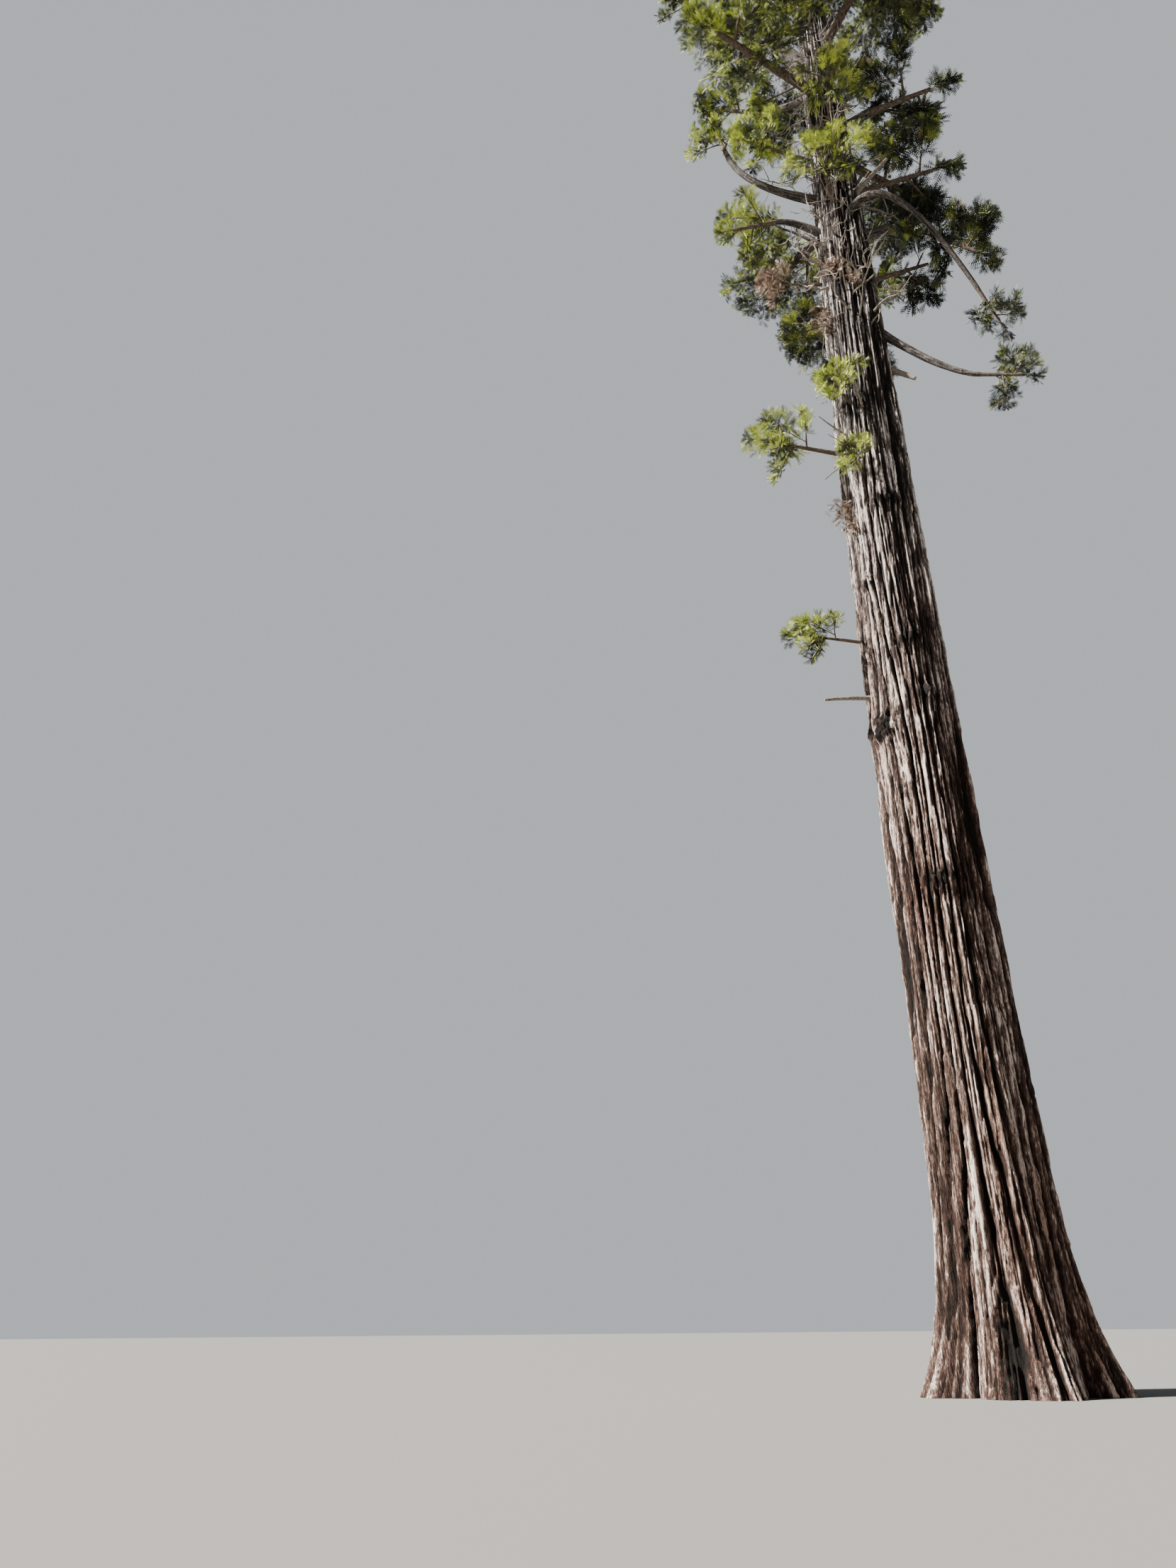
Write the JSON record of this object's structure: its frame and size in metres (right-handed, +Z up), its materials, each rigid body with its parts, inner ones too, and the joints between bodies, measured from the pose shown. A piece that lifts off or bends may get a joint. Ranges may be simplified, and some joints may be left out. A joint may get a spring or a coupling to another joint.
{
  "type": "redwood tree",
  "caption": "Tall straight conifer with a fluted, flared trunk, drooping side boughs, a second stem high up and open tufts of foliage, standing on a flat cut at ground level",
  "frame": {"origin": "middle of the flat cut under the trunk, at ground level", "axes": "+Z up along the trunk, +Y away from the side that the picture shows, +X to that side's right"},
  "size_m": [6.8402, 6.4894, 39.9099],
  "materials": {
    "bark": "deeply furrowed fibrous bark, grey-brown on the ridges, red-brown and near black in the furrows",
    "limb_bark": "dull flaking bark of the boughs and the second stem",
    "dead_wood": "bare weathered grey wood",
    "foliage": "matt needles, yellow-green on lit tops and grey-green below",
    "withered_foliage": "dry rust-brown needles"
  },
  "bodies": {
    "root": {"trunk": "bark", "left_behind_limb": "limb_bark", "left_hanging_limb": "limb_bark", "left_high_limb": "limb_bark", "left_outer_limb": "limb_bark", "right_hanging_limb": "limb_bark", "right_low_limb": "limb_bark", "right_outer_limb": "limb_bark", "right_upper_limb": "limb_bark", "second_stem_foot": "limb_bark", "second_stem_upright": "limb_bark", "snag_crown": "dead_wood", "snag_low": "dead_wood", "snag_right": "dead_wood", "back_1_foliage": "foliage", "back_2_foliage": "foliage", "back_3_foliage": "foliage", "back_4_foliage": "foliage", "front_crest_foliage": "foliage", "front_shelf_foliage": "foliage", "left_behind_foliage": "foliage", "left_hanging_foliage": "foliage", "left_high_foliage": "foliage", "left_inner_foliage": "foliage", "left_outer_foliage": "foliage", "left_shaded_foliage": "foliage", "left_small_foliage": "foliage", "left_withered_foliage": "withered_foliage", "low_crossing_foliage": "foliage", "low_front_foliage": "foliage", "low_left_foliage": "foliage", "low_lone_foliage": "foliage", "right_hanging_foliage": "foliage", "right_inner_foliage": "foliage", "right_low_foliage": "foliage", "right_middle_foliage": "foliage", "right_outer_foliage": "foliage", "right_upper_foliage": "foliage", "second_side_foliage": "foliage", "second_top_foliage": "foliage", "top_foliage": "foliage", "upper_10_foliage": "foliage", "upper_11_foliage": "foliage", "upper_12_foliage": "foliage", "upper_13_foliage": "foliage", "upper_14_foliage": "foliage", "upper_1_foliage": "foliage", "upper_2_foliage": "foliage", "upper_3_foliage": "foliage", "upper_4_foliage": "foliage", "upper_5_foliage": "foliage", "upper_6_foliage": "foliage", "upper_7_foliage": "foliage", "upper_8_foliage": "foliage", "upper_9_foliage": "foliage"}
  },
  "joints": []
}
